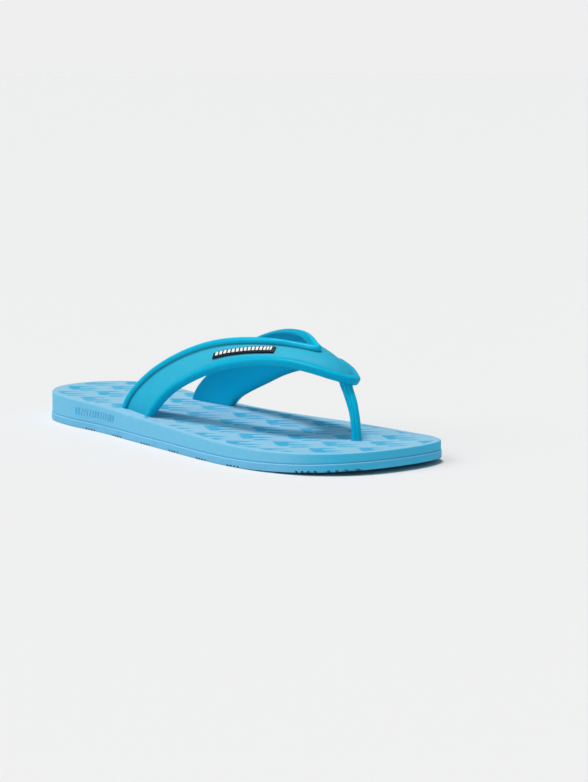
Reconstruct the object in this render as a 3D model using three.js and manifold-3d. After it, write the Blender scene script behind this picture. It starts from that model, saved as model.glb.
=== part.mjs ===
// Flip flop, right foot: a two-layer sole with a moulded Y-shaped strap.
// Millimetres. +X points to the toe, +Y to the inner (medial) side, +Z up.
// The origin is on the ground, under the middle of the sole.

import * as THREE from "three";
import { mergeVertices } from "three/addons/utils/BufferGeometryUtils.js";
import Module from "manifold-3d";

const wasm = await Module();
wasm.setup();

// ---- Driving dimensions ----

const LENGTH = 285;
const HEEL_HEIGHT = 16.5;
const TOE_HEIGHT = 9.2;
const LEVEL_UNTIL = -100;
const TOE_SPRING = 3;
const SPRING_FROM = 62;

const OUTSOLE_HEIGHT = 4.3;
const LAYER_GAP = 0.3;
const FOOTBED_INSET = 0.4;
const TOP_EDGE_RADIUS = 1.2;
const BOTTOM_EDGE_RADIUS = 1;

const FLEX_X = 84;
const FLEX_GAP = 0.4;

const GROOVE_DEPTH = 1.5;
const GROOVE_WIDTH = 1.1;
const GROOVE_PITCH = 2.7;
const GROOVES_IN_GROUP = 4;
const GROOVE_GROUPS = [-71, -42, -10, 20, 48, 76, 120, 133];

const FIT = 0.35;
const POCKET_FIT = 0.8;

const BEAD_THICKNESS = 5;
const BEAD_WIDTH = 4.4;
const WEB_THICKNESS = 3;
const NOSE_X = 74;
const ARM_STATIONS = 34;

const POST_RADIUS = 2.7;
const POST_TOP_RADIUS = 3;
const POST_FOOT = [104.5, 9.5];
const POST_SINK = 3;
const POST_BEND = [
  [103.1, 10, 18.7],
  [101.3, 10.6, 24.7],
  [98.7, 11.2, 30.5],
  [95.9, 11.6, 35.2],
  [93.4, 12, 39.3],
  [92, 12.1, 43.3],
];

const PLUG_STEM_RADIUS = 3.2;
const PLUG_HEAD_RADIUS = 9;
const PLUG_HEAD_HEIGHT = 2;
const PLUG_HEAD_RECESS = 0.5;

// The badge's corners on the outer arm, as [place along it, share of the way across]:
// its heel end, then its toe end, each from the arm's upper edge towards the lower.
const BADGE_CORNERS = [
  [[0.364, 0.446], [0.357, 0.627]],
  [[0.572, 0.329], [0.595, 0.581]],
];
const BADGE_THICKNESS = 1.4;
const BADGE_RISE = 0.9;

// Outline of the sole, seen from above, as [x, y]: the heel, the outer side,
// the toe, then the inner side back to the heel.
const OUTLINE = [
  [-142.5, 4],
  [-139, -11],
  [-130, -23.5],
  [-116, -33],
  [-95, -37.8],
  [-60, -39.2],
  [-20, -44.2],
  [20, -49],
  [50, -52.6],
  [75, -53.4],
  [98, -50.4],
  [118, -42.4],
  [132, -29],
  [139.8, -12],
  [142.5, 8],
  [141.2, 28],
  [134.8, 43.5],
  [120.5, 51.6],
  [98, 53.4],
  [78, 53.2],
  [58, 50.4],
  [36, 45.2],
  [8, 38.8],
  [-25, 36],
  [-65, 38.2],
  [-98, 41.4],
  [-120, 38.9],
  [-133, 30.5],
  [-140, 18.5],
];

// Edges of the two strap arms, from the sole up and over to the toe post.
// Each pair of upper and lower points spans the arm's width.
const OUTER_ARM = {
  upper: [
    [-53, -32.8, 9],
    [-48.6, -30.2, 22],
    [-34.5, -26, 37],
    [-12, -21, 50.5],
    [12, -16, 59.3],
    [34, -10.5, 63],
    [52, -3.5, 63.4],
    [66, 6, 61],
    [74, 10.8, 58.5],
    [81, 11.2, 55.3],
    [87.5, 11.3, 52.2],
    [92, 11.3, 49.2],
  ],
  lower: [
    [-19, -40, 9],
    [-13.5, -37.7, 20],
    [-4.3, -33.6, 30.5],
    [10.3, -29.4, 39.2],
    [26, -25.3, 45.6],
    [41, -22.8, 49.6],
    [53, -20.3, 52],
    [63, -17.3, 53.2],
    [73, -12.8, 53],
    [84, -6.2, 50.6],
    [93.8, 1.8, 47],
    [99.2, 10.5, 44.2],
  ],
};
const INNER_ARM = {
  upper: [
    [-51.5, 25, 9],
    [-45, 24, 21.5],
    [-31.5, 24, 35],
    [-14, 24.5, 48.5],
    [8, 24.4, 58.8],
    [30, 23.4, 64.7],
    [50, 20, 65.5],
    [66, 14.6, 61.5],
    [74, 10.8, 58.5],
    [81, 11.2, 55.3],
    [87.5, 11.3, 52.2],
    [92, 11.3, 49.2],
  ],
  lower: [
    [-22, 26.5, 9],
    [-16.2, 29.7, 18.3],
    [-7.1, 32.4, 24.6],
    [5.8, 33.9, 30.9],
    [20.7, 34.7, 37.6],
    [37.2, 35.6, 43],
    [54, 35.6, 46.8],
    [68.3, 33.7, 47.9],
    [80.6, 29.6, 46.4],
    [90.8, 24.1, 44],
    [98, 18.2, 43.1],
    [99.2, 10.5, 44.2],
  ],
};

// ---- Heights along the sole ----

function groundHeight(x) {
  const t = Math.max(0, (x - SPRING_FROM) / (LENGTH / 2 - SPRING_FROM));
  return TOE_SPRING * t * t;
}

function topHeight(x) {
  const t = Math.max(0, (x - LEVEL_UNTIL) / (LENGTH / 2 - LEVEL_UNTIL));
  return groundHeight(x) + HEEL_HEIGHT + (TOE_HEIGHT - HEEL_HEIGHT) * t;
}

// ---- Mesh helpers ----

function vector(p) {
  return new THREE.Vector3(p[0], p[1], p[2]);
}

function curveThrough(points, closed = false) {
  return new THREE.CatmullRomCurve3(points.map(vector), closed, "centripetal");
}

// Joins equal rings of points into one closed body, with a flat cap at each end.
function loft(rings) {
  const count = rings[0].length;
  const positions = rings.flat().flatMap((p) => [p.x, p.y, p.z]);
  const index = [];
  for (let i = 0; i < rings.length - 1; i++) {
    for (let j = 0; j < count; j++) {
      const a = i * count + j;
      const b = i * count + ((j + 1) % count);
      index.push(a, b, b + count, a, b + count, a + count);
    }
  }
  const contour = flatContour(rings[0]);
  const cap = THREE.ShapeUtils.triangulateShape(contour, []);
  const last = (rings.length - 1) * count;
  for (const [a, b, c] of cap) {
    index.push(c, b, a, last + a, last + b, last + c);
  }
  const geometry = new THREE.BufferGeometry();
  geometry.setAttribute("position", new THREE.Float32BufferAttribute(positions, 3));
  geometry.setIndex(index);
  return signedVolume(geometry) < 0 ? turnedInsideOut(geometry) : geometry;
}

// The ring's own plane coordinates, running the same way round as the ring.
function flatContour(ring) {
  const normal = new THREE.Vector3();
  ring.forEach((p, i) => {
    normal.add(new THREE.Vector3().crossVectors(p, ring[(i + 1) % ring.length]));
  });
  normal.normalize();
  const u = new THREE.Vector3().subVectors(ring[1], ring[0]).normalize();
  u.addScaledVector(normal, -u.dot(normal)).normalize();
  const v = new THREE.Vector3().crossVectors(normal, u);
  return ring.map((p) => new THREE.Vector2(p.dot(u), p.dot(v)));
}

function signedVolume(geometry) {
  const position = geometry.getAttribute("position");
  const index = geometry.getIndex().array;
  const [a, b, c] = [new THREE.Vector3(), new THREE.Vector3(), new THREE.Vector3()];
  let sum = 0;
  for (let i = 0; i < index.length; i += 3) {
    a.fromBufferAttribute(position, index[i]);
    b.fromBufferAttribute(position, index[i + 1]);
    c.fromBufferAttribute(position, index[i + 2]);
    sum += a.dot(b.cross(c)) / 6;
  }
  return sum;
}

function turnedInsideOut(geometry) {
  const index = geometry.getIndex().array;
  for (let i = 0; i < index.length; i += 3) {
    [index[i], index[i + 1]] = [index[i + 1], index[i]];
  }
  return geometry;
}

function toSolid(geometry) {
  const bare = geometry.clone();
  bare.deleteAttribute("normal");
  bare.deleteAttribute("uv");
  const merged = mergeVertices(bare, 1e-4);
  return new wasm.Manifold(new wasm.Mesh({
    numProp: 3,
    vertProperties: new Float32Array(merged.getAttribute("position").array),
    triVerts: new Uint32Array(merged.getIndex().array),
  }));
}

function toGeometry(solid) {
  const mesh = solid.getMesh();
  const geometry = new THREE.BufferGeometry();
  geometry.setAttribute("position", new THREE.BufferAttribute(mesh.vertProperties, 3));
  geometry.setIndex(new THREE.BufferAttribute(mesh.triVerts, 1));
  return geometry;
}

function boxAt(sx, sy, sz, x, y, z) {
  return new THREE.BoxGeometry(sx, sy, sz).translate(x, y, z);
}

// A round upright piece from its profile of [radius, height] points.
function turned(profile, x, y, segments = 32) {
  const points = profile.map(([r, z]) => new THREE.Vector2(r, z));
  return new THREE.LatheGeometry(points, segments).rotateX(Math.PI / 2).translate(x, y, 0);
}

// ---- Sole layers ----

const outlinePoints = curveThrough(OUTLINE.map(([x, y]) => [x, y, 0]), true).getPoints(600);

function insetOutline(inset) {
  const n = outlinePoints.length - 1;
  return Array.from({ length: n }, (_, i) => {
    const before = outlinePoints[(i + n - 1) % n];
    const after = outlinePoints[(i + 1) % n];
    const along = new THREE.Vector3().subVectors(after, before).normalize();
    return new THREE.Vector2(
      outlinePoints[i].x - along.y * inset,
      outlinePoints[i].y + along.x * inset,
    );
  });
}

function widthAt(outline, x) {
  const ys = [];
  outline.forEach((p, i) => {
    const q = outline[(i + 1) % outline.length];
    if ((p.x <= x) !== (q.x <= x)) {
      ys.push(p.y + ((q.y - p.y) * (x - p.x)) / (q.x - p.x));
    }
  });
  return [Math.min(...ys), Math.max(...ys)];
}

// Section of a layer across the sole, with rounded corners at the edge it shows.
function layerSection(x, [yLow, yHigh], zLow, zHigh, radius, roundTop) {
  const r = Math.min(radius, (yHigh - yLow) / 4);
  const steps = 3;
  const ring = [];
  const zSquare = roundTop ? zLow : zHigh;
  const zRound = roundTop ? zHigh - r : zLow + r;
  const side = roundTop ? 1 : -1;
  ring.push(new THREE.Vector3(x, yLow, zSquare));
  for (let k = 0; k <= steps; k++) {
    const a = (k / steps) * (Math.PI / 2);
    ring.push(new THREE.Vector3(x, yLow + r - r * Math.cos(a), zRound + side * r * Math.sin(a)));
  }
  for (let k = steps; k >= 0; k--) {
    const a = (k / steps) * (Math.PI / 2);
    ring.push(new THREE.Vector3(x, yHigh - r + r * Math.cos(a), zRound + side * r * Math.sin(a)));
  }
  ring.push(new THREE.Vector3(x, yHigh, zSquare));
  return ring;
}

// Stations along X, closer together towards the end that the outline rounds off.
function stations(from, to, count) {
  return Array.from({ length: count + 1 }, (_, i) => {
    const t = Math.sin((i / count) * (Math.PI / 2));
    return to + (from - to) * t;
  });
}

function layer(inset, low, high, radius, roundTop, part) {
  const outline = insetOutline(inset);
  const end = LENGTH / 2 - inset - 0.1;
  const xs = part === "rear"
    ? stations(-end, FLEX_X - FLEX_GAP / 2, 34)
    : stations(end, FLEX_X + FLEX_GAP / 2, 22);
  return toSolid(loft(xs.map((x) => {
    return layerSection(x, widthAt(outline, x), low(x), high(x), radius, roundTop);
  })));
}

const outsoleTop = (x) => groundHeight(x) + OUTSOLE_HEIGHT;
const footbedBottom = (x) => outsoleTop(x) + LAYER_GAP;

function footbed(part) {
  return layer(FOOTBED_INSET, footbedBottom, topHeight, TOP_EDGE_RADIUS, true, part);
}

function outsole(part) {
  return layer(0, groundHeight, outsoleTop, BOTTOM_EDGE_RADIUS, false, part);
}

// Groups of fine grooves across the sole's underside.
function treadGrooves(from, to) {
  const cuts = [];
  for (const x of GROOVE_GROUPS) {
    for (let k = 0; k < GROOVES_IN_GROUP; k++) {
      const at = x + (k - (GROOVES_IN_GROUP - 1) / 2) * GROOVE_PITCH;
      if (at > from && at < to) {
        const top = groundHeight(at) + GROOVE_DEPTH;
        cuts.push(boxAt(GROOVE_WIDTH, 130, 6, at, 0, top - 3));
      }
    }
  }
  return cuts.map(toSolid);
}

// ---- Strap ----

// Half of the band's section, from one edge to the middle, as
// [distance from the edge, share of the bead's height over the web].
const BEAD_PROFILE = [
  [0, -0.45],
  [0.5, 0.5],
  [1.6, 1],
  [2.8, 1],
  [3.8, 0.5],
  [BEAD_WIDTH, 0],
];
const BEAD_RISE = BEAD_THICKNESS - WEB_THICKNESS;
const CREST_LAP = 2;

// The directions of an arm's section at t: across it from its upper edge, and out.
function armFrame(arm, t) {
  const upper = arm.upper.getPoint(t);
  const lower = arm.lower.getPoint(t);
  const across = new THREE.Vector3().subVectors(lower, upper);
  const width = across.length();
  across.normalize();
  const along = arm.upper.getTangent(t).add(arm.lower.getTangent(t));
  const out = new THREE.Vector3().crossVectors(along, across).normalize();
  if (out.y * arm.side + out.z * 0.2 < 0) {
    out.negate();
  }
  return { upper, across, width, out };
}

// Height of the upper bead: full along the arm, none on the toe piece past the V.
function upperBead(x) {
  return 1 - THREE.MathUtils.smoothstep(x, NOSE_X - 4, NOSE_X + 1);
}

// The bead's top lies on the arm's edge curves, and the band's thickness inside them.
function bandRing(arm, t) {
  const { upper, across, width, out } = armFrame(arm, t);
  const at = (d, h) => upper.clone().addScaledVector(across, d).addScaledVector(out, h);
  const k = Math.min(1, width / (3 * BEAD_WIDTH));
  const bead = upperBead(upper.x);
  const lap = CREST_LAP * (1 - bead);
  const ring = [];
  for (const [d, share] of BEAD_PROFILE) {
    ring.push(at(d * k - lap, BEAD_RISE * (share * bead - 1)));
  }
  for (const [d, share] of BEAD_PROFILE.toReversed()) {
    ring.push(at(width - d * k, BEAD_RISE * (share - 1)));
  }
  ring.push(at(width - 0.5 * k, 1 - BEAD_THICKNESS));
  ring.push(at(width - 1.6 * k, -BEAD_THICKNESS));
  ring.push(at(1.6 * k - lap, -BEAD_THICKNESS));
  ring.push(at(0.5 * k - lap, 1 - BEAD_THICKNESS));
  return ring;
}

function armSolid(arm) {
  const count = ARM_STATIONS;
  const rings = Array.from({ length: count + 1 }, (_, i) => bandRing(arm, i / count));
  return toSolid(loft(rings));
}

function armOf(edges, side) {
  return { upper: curveThrough(edges.upper), lower: curveThrough(edges.lower), side };
}

const outerArm = armOf(OUTER_ARM, -1);
const innerArm = armOf(INNER_ARM, 1);

// The lower end of an arm, widened by the fit, to cut its pocket in the footbed.
function pocketCutter(arm) {
  const ringAt = (t, drop) => {
    const { upper, across, width, out } = armFrame(arm, t);
    return [
      [-POCKET_FIT, -BEAD_THICKNESS - POCKET_FIT],
      [width + POCKET_FIT, -BEAD_THICKNESS - POCKET_FIT],
      [width + POCKET_FIT, POCKET_FIT],
      [-POCKET_FIT, POCKET_FIT],
    ].map(([d, h]) => {
      const p = upper.clone().addScaledVector(across, d).addScaledVector(out, h);
      return p.setZ(p.z - drop);
    });
  };
  const rings = [ringAt(0, FIT)];
  for (let i = 1; i <= 5; i++) {
    rings.push(ringAt(i / ARM_STATIONS, 0));
  }
  return toSolid(loft(rings));
}

// ---- Toe post and its plug ----

const postFoot = new THREE.Vector3(POST_FOOT[0], POST_FOOT[1], topHeight(POST_FOOT[0]));

// Rings across the post's curved path, from its sunk foot to its top in the strap.
function postBar(grow) {
  const sides = 20;
  const steps = 14;
  const path = curveThrough([
    [postFoot.x, postFoot.y, postFoot.z - POST_SINK - grow],
    [postFoot.x, postFoot.y, postFoot.z],
    ...POST_BEND,
  ]);
  const side = new THREE.Vector3(0, 1, 0);
  return toSolid(loft(Array.from({ length: steps + 1 }, (_, i) => {
    const t = i / steps;
    const centre = path.getPointAt(t);
    const tangent = path.getTangentAt(t);
    const u = new THREE.Vector3().crossVectors(side, tangent).normalize();
    const v = new THREE.Vector3().crossVectors(tangent, u);
    const flare = THREE.MathUtils.smoothstep(t, 0.55, 0.85);
    const r = POST_RADIUS + (POST_TOP_RADIUS - POST_RADIUS) * flare + grow;
    return Array.from({ length: sides }, (_, j) => {
      const a = (j / sides) * 2 * Math.PI;
      return centre.clone()
        .addScaledVector(u, r * Math.cos(a))
        .addScaledVector(v, r * Math.sin(a));
    });
  })));
}

function postHole() {
  const z = postFoot.z;
  return toSolid(turned([
    [0, z - POST_SINK - FIT],
    [POST_RADIUS + FIT, z - POST_SINK - FIT],
    [POST_RADIUS + FIT, z + 4],
    [0, z + 4],
  ], postFoot.x, postFoot.y));
}

function plugProfile(grow) {
  const ground = groundHeight(postFoot.x);
  const low = ground + PLUG_HEAD_RECESS - (grow > 0 ? 6 : 0);
  const shoulder = ground + PLUG_HEAD_RECESS + PLUG_HEAD_HEIGHT + grow;
  const high = postFoot.z - POST_SINK - FIT - 0.3 + grow;
  return [
    [0, low],
    [PLUG_HEAD_RADIUS + grow, low],
    [PLUG_HEAD_RADIUS + grow, shoulder],
    [PLUG_STEM_RADIUS + grow, shoulder],
    [PLUG_STEM_RADIUS + grow, high],
    [0, high],
  ];
}

function plug(grow) {
  return toSolid(turned(plugProfile(grow), postFoot.x, postFoot.y, 40));
}

// ---- Badge ----

// Place along the arm and share across it, for a place on the badge from 0 to 1 each way.
function badgePlace(u, v) {
  const [heel, toe] = BADGE_CORNERS;
  const across = (end, k) => THREE.MathUtils.lerp(end[0][k], end[1][k], v);
  return [0, 1].map((k) => THREE.MathUtils.lerp(across(heel, k), across(toe, k), u));
}

// A slab over a part of the badge's place, between two heights over the arm's edges.
function badgeSlab([u0, u1], [v0, v1], low, high, grow) {
  const steps = 14;
  const corner = (u, v, h, sign) => {
    const [t, share] = badgePlace(u, v);
    const { upper, across, width, out } = armFrame(outerArm, t);
    return upper.clone()
      .addScaledVector(across, share * width + sign * grow)
      .addScaledVector(out, h);
  };
  return toSolid(loft(Array.from({ length: steps + 1 }, (_, i) => {
    const u = THREE.MathUtils.lerp(u0, u1, i / steps);
    return [
      corner(u, v0, low, -1),
      corner(u, v0, high, -1),
      corner(u, v1, high, 1),
      corner(u, v1, low, 1),
    ];
  })));
}

const badgeHigh = BADGE_RISE - BEAD_RISE;
const badgeLow = badgeHigh - BADGE_THICKNESS;
const badgePlate = badgeSlab([0, 1], [0, 1], badgeLow, badgeHigh, 0);
const badgeRecess = badgeSlab([-0.015, 1.015], [0, 1], badgeLow - 0.3, badgeHigh + 4, 0.3);
const badgeInlay = badgeSlab([0.05, 0.95], [0.25, 0.6], badgeHigh + 0.3, badgeHigh + 0.7, 0);

// ---- Assembly ----

const post = postBar(0);
const tip = new THREE.SphereGeometry(1, 28, 16).scale(8, 7.5, 4).translate(90.5, 11.8, 43.4);
const strap = armSolid(outerArm)
  .add(armSolid(innerArm))
  .add(toSolid(tip))
  .subtract(postBar(FIT))
  .subtract(badgeRecess);

const footbedRear = footbed("rear")
  .subtract(pocketCutter(outerArm))
  .subtract(pocketCutter(innerArm));
const footbedFront = footbed("front")
  .subtract(postHole())
  .subtract(plug(FIT));

function cutAll(solid, cutters) {
  return cutters.reduce((rest, cutter) => rest.subtract(cutter), solid);
}

const outsoleRear = cutAll(outsole("rear"), treadGrooves(-LENGTH / 2, FLEX_X - 2));
const outsoleFront = cutAll(
  outsole("front").subtract(plug(FIT)),
  treadGrooves(FLEX_X + 2, LENGTH / 2),
);

const object = new THREE.Group();

function addPiece(name, solid, color, roughness) {
  const material = new THREE.MeshStandardMaterial({ color, roughness, metalness: 0 });
  const mesh = new THREE.Mesh(toGeometry(solid), material);
  mesh.name = name;
  object.add(mesh);
}

addPiece("outsole_rear", outsoleRear, 0x55b0dd, 0.6);
addPiece("outsole_front", outsoleFront, 0x55b0dd, 0.6);
addPiece("footbed_rear", footbedRear, 0x74c0e4, 0.7);
addPiece("footbed_front", footbedFront, 0x74c0e4, 0.7);
addPiece("strap", strap, 0x1c9fcc, 0.5);
addPiece("toe_post", post, 0x1c9fcc, 0.5);
addPiece("toe_plug", plug(0), 0x1c9fcc, 0.5);
addPiece("badge_plate", badgePlate, 0x101418, 0.4);
addPiece("badge_inlay", badgeInlay, 0xe8ecee, 0.4);

export default object;
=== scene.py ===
"""Flip flop, right foot: the looks of the sole, the strap, the toe post and the badge.

Shapes are worked out in millimetres in the part's own frame: +X toe, +Y inner side, +Z up.
"""

import math

import bmesh
import bpy
import numpy as np
from mathutils import Matrix, Vector
from mathutils.geometry import delaunay_2d_cdt
from mathutils.kdtree import KDTree


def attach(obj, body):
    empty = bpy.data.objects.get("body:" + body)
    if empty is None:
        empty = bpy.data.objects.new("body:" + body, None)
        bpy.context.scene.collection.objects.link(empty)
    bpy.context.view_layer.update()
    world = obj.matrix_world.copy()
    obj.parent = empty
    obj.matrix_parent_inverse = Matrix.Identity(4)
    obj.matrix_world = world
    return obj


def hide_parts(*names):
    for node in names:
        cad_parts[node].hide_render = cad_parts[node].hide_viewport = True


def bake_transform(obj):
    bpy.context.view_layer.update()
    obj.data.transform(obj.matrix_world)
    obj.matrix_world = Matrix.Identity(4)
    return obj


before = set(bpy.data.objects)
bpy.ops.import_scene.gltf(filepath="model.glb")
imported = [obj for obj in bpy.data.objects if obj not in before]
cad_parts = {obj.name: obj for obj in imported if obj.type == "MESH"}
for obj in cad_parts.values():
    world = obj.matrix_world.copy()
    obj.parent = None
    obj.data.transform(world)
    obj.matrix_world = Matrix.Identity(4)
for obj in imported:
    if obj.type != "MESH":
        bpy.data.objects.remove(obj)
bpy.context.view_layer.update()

MM = 0.001

# ---- Driving dimensions, mostly those of the part's source ----

HALF_LENGTH = 142.5
HEEL_HEIGHT = 16.5
TOE_HEIGHT = 9.2
LEVEL_UNTIL = -100
TOE_SPRING = 3
SPRING_FROM = 62
OUTSOLE_HEIGHT = 4.3
FOOTBED_INSET = 0.4
EDGE_RADIUS = 0.6

# The tread's grooves, in groups across the sole; they are shallower than the part's.
GROOVE_GROUPS = (-71, -42, -10, 20, 48, 76, 120, 133)
GROOVE_DEPTH = 1.05
GROOVE_PITCH = 2.7
GROOVES_IN_GROUP = 4

# The row of slanted ribs on the heel's outer side.
RIB_COUNT = 15
RIB_PITCH = 2.75
RIB_WIDTH = 1.15
RIB_LEAN = 1.1
RIB_HEIGHTS = (7.9, 11.9)

OUTLINE = [
    (-142.5, 4), (-139, -11), (-130, -23.5), (-116, -33), (-95, -37.8), (-60, -39.2),
    (-20, -44.2), (20, -49), (50, -52.6), (75, -53.4), (98, -50.4), (118, -42.4),
    (132, -29), (139.8, -12), (142.5, 8), (141.2, 28), (134.8, 43.5), (120.5, 51.6),
    (98, 53.4), (78, 53.2), (58, 50.4), (36, 45.2), (8, 38.8), (-25, 36), (-65, 38.2),
    (-98, 41.4), (-120, 38.9), (-133, 30.5), (-140, 18.5),
]

# The strap is one band: from the outer foot up to the V, round the toe piece and
# down to the inner foot. Pairs of points span it, from its V edge to its low edge.
BAND = [
    ((-53, -32.8, 9), (-19, -40, 9)),
    ((-48.6, -30.2, 22), (-13.5, -37.7, 20)),
    ((-34.5, -26, 37), (-4.3, -33.6, 30.5)),
    ((-12, -21, 50.5), (10.3, -29.4, 39.2)),
    ((12, -16, 59.3), (26, -25.3, 45.6)),
    ((34, -10.5, 63), (41, -22.8, 49.6)),
    ((52, -3.5, 63.4), (53, -20.3, 52)),
    ((60.5, 3.6, 61.9), (63, -17.3, 53.2)),
    ((66.5, 8.3, 60.6), (73, -12.8, 53)),
    ((69, 9.8, 60.1), (84, -6.2, 50.6)),
    ((69.6, 10.4, 60), (93.8, 1.8, 47)),
    ((69.8, 10.9, 60), (99.2, 10.5, 44.2)),
    ((69.6, 11.4, 60.05), (98, 18.2, 43.1)),
    ((67.8, 12.4, 60.4), (90.8, 24.1, 44)),
    ((63.8, 14.4, 61.4), (80.6, 29.6, 46.4)),
    ((57.5, 17.2, 63.9), (68.3, 33.7, 47.9)),
    ((49, 20.2, 65.5), (54, 35.6, 46.8)),
    ((30, 23.4, 64.7), (37.2, 35.6, 43)),
    ((8, 24.4, 58.8), (20.7, 34.7, 37.6)),
    ((-14, 24.5, 48.5), (5.8, 33.9, 30.9)),
    ((-33, 24, 35), (-7.1, 32.4, 24.6)),
    ((-47, 24, 21.5), (-16.2, 29.7, 18.3)),
    ((-53, 25, 9), (-22, 26.5, 9)),
]
BAND_END = len(BAND) - 1
BAND_THICKNESS = 5
WEB_DROP = 2.2
UPPER_BEAD = 4.3
LOWER_BEAD = 5.0
# How much wider the upper bead is at each pair of points, where the V closes.
BEAD_SPREAD = [1] * 8 + [1, 1, 1.08, 1.12, 1.08, 1, 0.95] + [0.95] * 8
# How far the upper bead stands up more at each pair of points.
BEAD_LIFT = [0] * 8 + [0.1, 0.3, 0.5, 0.7, 0.8, 0.6, 0.3] + [0] * 8
# How far the web is domed at each pair of points.
WEB_DOME = [0.3] * 7 + [0.6, 1.2, 2.0, 2.5, 2.7, 2.7, 2.5, 1.9, 1.1] + [0.3] * 7

# The footbed's print: a staggered lattice of marks, turned from the sole's length.
PRINT_TURN = math.radians(50)
PRINT_PITCH = 26.0
PRINT_ROW = 21.7
PRINT_STAGGER = 0.287
PRINT_START = (8.0, 9.8)
PRINT_SOFT = 0.35
# Each dash of a mark, as (place across the row, start, length, half thickness).
PRINT_DASHES = ((17.6, 1, 19, 2.1), (9.6, 5, 20, 2.3), (2.4, 9, 16, 1.9))

# Painted light and shade: how lit the web is painted at places along the band, and the inner face
# across its width.
WEB_PAINTED_LIGHT = ((0, 2, 4, 7, 9, 11, 13, 15, 19, 22), (0, 0.5, 1, 1, 0.5, 0.4, 0.5, 1, 0.5, 0))
INNER_PAINTED_LIGHT = ((0, 0.25, 0.7, 0.85, 0.97), (0.1, 0.4, 1, 0.9, 0))

POST_FOOT = (104.5, 9.5)
POST_SINK = 3
POST_BEND = [
    (103.1, 10, 18.7), (101.3, 10.6, 24.7), (98.7, 11.2, 30.5), (95.9, 11.6, 35.2),
    (93.4, 12, 39.3), (92, 12.1, 43.3),
]
POST_RADIUS = 2.7
POST_TOP_RADIUS = 3.0
POST_SEAM = 117
POST_TONE = 0.6

PLUG_HEAD_RADIUS = 9
PLUG_STEM_RADIUS = 3.2

# Room left round a foot in its pocket, and round the plug in the sole.
POCKET_ROOM = 0.18
PLUG_ROOM = 0.35
POST_HOLE_RADIUS = 3.05
COLLAR_RADIUS = 3.2
# The low ribs round the arms' feet and the post's foot, as (gap, width, height).
ARM_LIP = (0.1, 1.5, 0.42)
POST_COLLAR = (0.0, 1.3, 0.4)

# The badge's corners, as (place along the band, share of the way across it):
# two at its heel end, two at its toe end, the one nearer the V edge first.
BADGE_CORNERS = (((4.006, 0.446), (3.921, 0.627)), ((6.40, 0.320), (6.59, 0.572)))
BADGE_RISE = 0.9
BADGE_THICKNESS = 1.15

# The badge's bars: how many, the length and the width of the badge that they take up as
# shares, how much of its own pitch each one fills, and how far they stand up.
BAR_COUNT = 15
BAR_SPAN = (0.04, 0.96)
BAR_SIDES = (0.12, 0.70)
BAR_FILL = 0.66
BAR_RISE = 0.28


# ---- Curves and heights ----

def unit(v):
    return v / np.maximum(np.linalg.norm(v, axis=-1, keepdims=True), 1e-12)


def curve(points, closed=False):
    """A centripetal Catmull-Rom curve, as a function of the index of its points."""
    pts = np.asarray(points, float)
    count = len(pts)

    def at(t):
        t = np.atleast_1d(np.asarray(t, float))
        i = np.floor(t).astype(int)
        if not closed:
            i = np.clip(i, 0, count - 2)
        w = (t - i)[:, None]
        if closed:
            p = [pts[(i + k) % count] for k in (-1, 0, 1, 2)]
        else:
            ends = np.vstack([2 * pts[0] - pts[1], pts, 2 * pts[-1] - pts[-2]])
            p = [ends[i + k] for k in range(4)]
        d = [np.maximum(np.linalg.norm(b - a, axis=1, keepdims=True), 1e-9) ** 0.5
             for a, b in zip(p, p[1:])]
        m1 = ((p[1] - p[0]) / d[0] - (p[2] - p[0]) / (d[0] + d[1]) + (p[2] - p[1]) / d[1]) * d[1]
        m2 = ((p[2] - p[1]) / d[1] - (p[3] - p[1]) / (d[1] + d[2]) + (p[3] - p[2]) / d[2]) * d[1]
        return (p[1] + m1 * w + (-3 * p[1] + 3 * p[2] - 2 * m1 - m2) * w ** 2
                + (2 * p[1] - 2 * p[2] + m1 + m2) * w ** 3)

    return at


def even(points, count, closed=True):
    """The same line with count points, evenly spaced along it."""
    pts = np.vstack([points, points[:1]]) if closed else np.asarray(points, float)
    run = np.concatenate([[0], np.cumsum(np.linalg.norm(np.diff(pts, axis=0), axis=1))])
    want = np.linspace(0, run[-1], count + 1)[:-1] if closed else np.linspace(0, run[-1], count)
    return np.stack([np.interp(want, run, pts[:, k]) for k in range(pts.shape[1])], 1)


def smooth(x, low, high):
    t = np.clip((np.asarray(x, float) - low) / (high - low), 0, 1)
    return t * t * (3 - 2 * t)


def ground_height(x):
    return TOE_SPRING * np.maximum(0, (x - SPRING_FROM) / (HALF_LENGTH - SPRING_FROM)) ** 2


def top_height(x):
    t = np.maximum(0, (x - LEVEL_UNTIL) / (HALF_LENGTH - LEVEL_UNTIL))
    return ground_height(x) + HEEL_HEIGHT + (TOE_HEIGHT - HEEL_HEIGHT) * t


def seam_height(x):
    return ground_height(x) + OUTSOLE_HEIGHT


outline = even(curve(OUTLINE, True)(np.linspace(0, len(OUTLINE), 3001)[:-1]), 460)
outline_along = unit(np.roll(outline, -1, 0) - np.roll(outline, 1, 0))
outline_inward = np.stack([-outline_along[:, 1], outline_along[:, 0]], 1)


def inset(distance):
    return outline + outline_inward * distance


def edge_distance(xy):
    """How far inside the sole's outline each point is."""
    best = np.full(len(xy), 1e9)
    for start in range(0, len(outline), 46):
        near = outline[start:start + 46]
        gap = np.linalg.norm(xy[:, None] - near[None], axis=2).min(1)
        best = np.minimum(best, gap)
    return best


# ---- Mesh helpers ----

def add_object(name, vertices, faces):
    mesh = bpy.data.meshes.new(name)
    mesh.from_pydata((np.asarray(vertices) * MM).tolist(), [], [list(map(int, f)) for f in faces])
    obj = bpy.data.objects.new(name, mesh)
    bpy.context.scene.collection.objects.link(obj)
    bm = bmesh.new()
    bm.from_mesh(mesh)
    bmesh.ops.recalc_face_normals(bm, faces=bm.faces)
    bm.to_mesh(mesh)
    bm.free()
    return obj


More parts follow.
